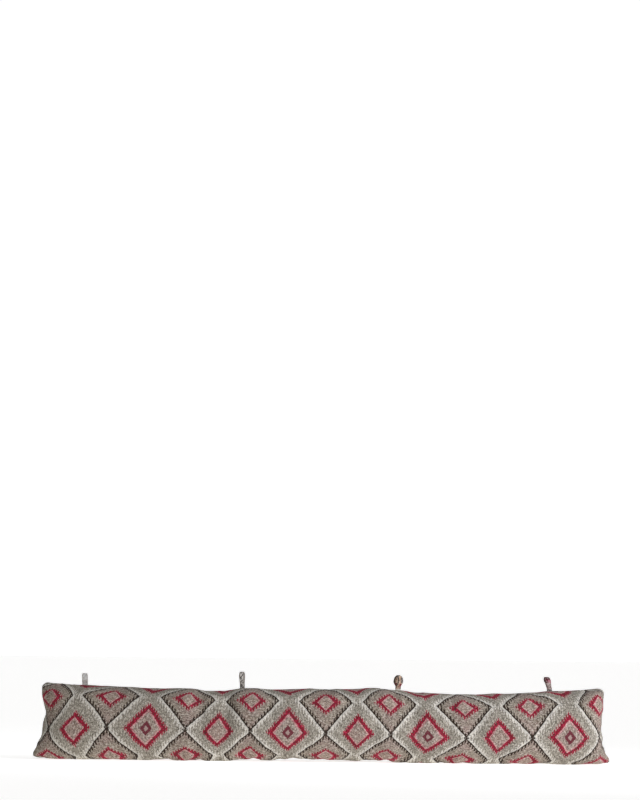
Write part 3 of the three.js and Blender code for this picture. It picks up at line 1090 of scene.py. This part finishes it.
# The middle line of a folded strap in the plane across the cushion, as y and height.
def strapLine(loop):
    height, half = loop["height"], loop["thick"] / 2
    wide = loop["spread"] / 2 - half
    neck, centre, top = loops["neck"], loops["middle"] * height, height - half
    leg = np.stack([np.full(12, half), np.linspace(-loops["root"], neck, 12)], axis=1)
    inner, outer = (share * height for share in loops["swell"])
    rise = bezier((half, neck), (half, inner), (wide, outer), (wide, centre), 24)
    angle = np.linspace(0.0, math.pi / 2, 24)
    crown = np.stack([wide * np.cos(angle), centre + (top - centre) * np.sin(angle)], axis=1)
    right = np.concatenate([leg, rise[1:], crown[1:]])
    left = right[:-1][::-1] * (-1.0, 1.0)
    return np.concatenate([right, left])


# Twists a strap about its own upright line above the neck, leans it, and sets it on its seat.
def setLoop(points, loop):
    x, y, z = points.T
    above = np.maximum(0.0, z - loops["neck"])
    turn = smooth(above / (loops["turned"] * loop["height"])) * math.radians(loop["twist"])
    turnedX = x * np.cos(turn) - y * np.sin(turn) + above * math.tan(math.radians(loop["lean"]))
    turnedY = x * np.sin(turn) + y * np.cos(turn)
    return np.stack([turnedX + loop["place"], turnedY, z + loop["seat"]], axis=1)


def addLoop(name, loop):
    strap = addGrid("strap_" + name, loops["along"], loops["across"])
    mesh = strap.data
    mesh.uv_layers[0].name = "strap map"
    line = strapLine(loop)
    arc = arcLengths(line)
    flat = getPoints(mesh)
    at = (flat[:, 0] + 0.5) * arc[-1]
    y, z = (np.interp(at, arc, column) for column in line.T)
    width = readTable(loop["widths"], z / loop["height"]) - loops["narrower"]
    setPoints(mesh, np.stack([flat[:, 1] * width, y, z], axis=1))
    applyModifier(strap, "thickness", "SOLIDIFY",
                  thickness=loop["thick"] - loops["thinner"], offset=0.0)
    applyModifier(strap, "edges", "BEVEL", width=loops["softEdge"], segments=3,
                  limit_method="ANGLE", angle_limit=math.radians(loops["sharpEdge"]))
    setPoints(mesh, setLoop(getPoints(mesh), loop))
    weld(strap)
    bpy.ops.object.shade_smooth_by_angle(angle=math.radians(60))
    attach(strap, "root")
    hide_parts(name)
    return strap


def loopMaterial(name, loop):
    material, shader, start = newMaterial(name + " cloth")
    place = start.make("ShaderNodeUVMap", {"uv_map": "strap map"})
    along, across = place.part(0), place.part(1)
    x = along * loops["cloth"][0]
    y = across * loops["cloth"][1]
    row = (x / loops["stitch"]).floor()
    shifted = y / loops["stitch"] + row.wrap(2.0) * 0.5   # every other row lies half a stitch on
    column = shifted.floor()
    random = start.chance(row, column)
    patch = start.cloud(row * loops["markPatch"][0], column * loops["markPatch"][1], 0.0)
    marked = (patch.ramp(0.25, 0.75) + (random - 0.5) * 0.25) > 1.0 - loop["share"]
    colour = marked.mix(loop["ground"], loop["marks"])
    fromEdge = across.least(1.0 - across)
    atEdge = (fromEdge < loops["edgeBand"]) * loops["edgeShows"]
    colour = atEdge.mix(colour, loop["edge"])
    # bands across the strap: woven colour, and on loop_4 painted shade where the strap meets the
    # seam
    for begin, stop, side, shade in loop["bands"]:
        inBand = (along > begin) * (along < stop) * (random > 0.1)
        if side != "all":
            inBand = inBand * (across > 0.5 if side == "high" else across < 0.5)
        colour = inBand.mix(colour, shade)
    isPale = (random > loops["paleFrom"]) * loops["paleShows"]
    colour = isPale.mix(colour, loops["paleYarn"])

    # the yarns, and a row of stitches along both edges
    acrossRow = x.ridges(loops["stitch"])
    alongRow = shifted.ridges(1.0)
    height = yarnHeight(acrossRow, alongRow, loops)
    colour = (0.5 - height).most(0.0).mix(colour, loops["gapShade"])
    inner, outer = loops["seamPlace"]
    onThread = (x / loops["seamStitch"]).wrap(1.0) < loops["seamPart"]
    thread = (fromEdge > inner) * (fromEdge < outer) * onThread
    colour = (thread * loops["threadShows"]).mix(colour, loops["thread"])
    setShader(shader, {"Roughness": 0.9, "Specular IOR Level": 0.2, "Sheen Weight": 0.12})
    plugCloth(shader, colour, height + thread * loops["threadRelief"], loops)
    return material


for name, loop in loops["each"].items():
    strap = addLoop(name, loop)
    strap.data.materials.append(loopMaterial(name, loop))
print("loops made")

bpy.context.view_layer.update()
